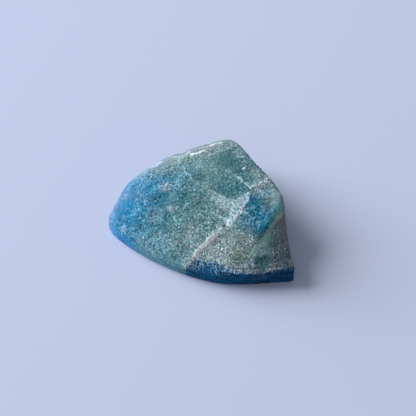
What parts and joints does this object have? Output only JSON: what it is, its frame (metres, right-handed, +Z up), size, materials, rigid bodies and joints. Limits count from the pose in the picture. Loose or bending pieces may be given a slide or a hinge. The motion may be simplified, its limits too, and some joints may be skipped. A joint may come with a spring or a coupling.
{
  "type": "azurite specimen",
  "caption": "Wedge-shaped rough chip of blue-green azurite rock with a granular broken top, a pale vein, a dark blue front edge and a flat base.",
  "frame": {"origin": "middle of the plan box, on the flat base", "axes": "+X from the thin left tip to the thick right end, +Y from the front edge to the back, +Z up"},
  "size_m": [0.03, 0.026, 0.0079],
  "materials": {
    "azurite_rock": "granular broken rock, teal to sky blue with a pale vein and a dark blue edge, satin where the rim is smoothed"
  },
  "bodies": {
    "root": {"azurite_stone": "azurite_rock"}
  },
  "joints": []
}
